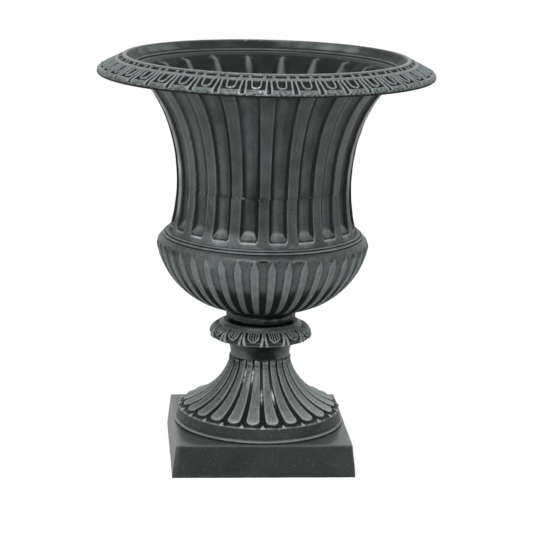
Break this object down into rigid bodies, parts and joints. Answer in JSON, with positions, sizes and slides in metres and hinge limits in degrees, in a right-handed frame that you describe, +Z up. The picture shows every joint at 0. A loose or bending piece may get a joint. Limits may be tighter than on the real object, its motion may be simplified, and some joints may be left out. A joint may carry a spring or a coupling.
{
  "type": "urn planter",
  "caption": "Flared cast-iron garden urn with an egg-and-dart rim, fluted body, ribbed bowl, tongued foot and square plinth, bolted together from inside.",
  "frame": {"origin": "middle of the plinth's underside, on the urn's axis", "axes": "+Z up along the urn's axis; the plinth's sides lie along X and Y; the side towards the picture's camera is -Y"},
  "size_m": [0.41, 0.41, 0.497],
  "materials": {
    "rim_ring_iron": "painted near black with a grey-green cast, rubbed with pewter on the raised carving, satin",
    "upper_body_iron": "painted near black with a grey-green cast, soft pewter rubbing on the fillets, satin",
    "lower_bowl_iron": "painted near black, ribs rubbed with pewter, satin, slightly rough casting skin",
    "pedestal_iron": "painted near black, tongues rubbed with pewter, satin, fine sand texture",
    "plinth_iron": "painted near black, sand-cast skin, satin",
    "fixing_steel": "zinc-plated, dulled",
    "seal_rubber": "black moulded rubber, matt"
  },
  "bodies": {
    "root": {"rim_ring": "rim_ring_iron", "upper_body": "upper_body_iron", "lower_bowl": "lower_bowl_iron", "pedestal": "pedestal_iron", "plinth": "plinth_iron", "rim_screws": "fixing_steel", "waist_bolts": "fixing_steel", "waist_washers": "fixing_steel", "waist_nuts": "fixing_steel", "centre_bolt": "fixing_steel", "bolt_head_washer": "fixing_steel", "lower_washer": "fixing_steel", "centre_nut": "fixing_steel", "plinth_bolts": "fixing_steel", "plinth_washers": "fixing_steel", "sealing_washer": "seal_rubber"}
  },
  "joints": []
}
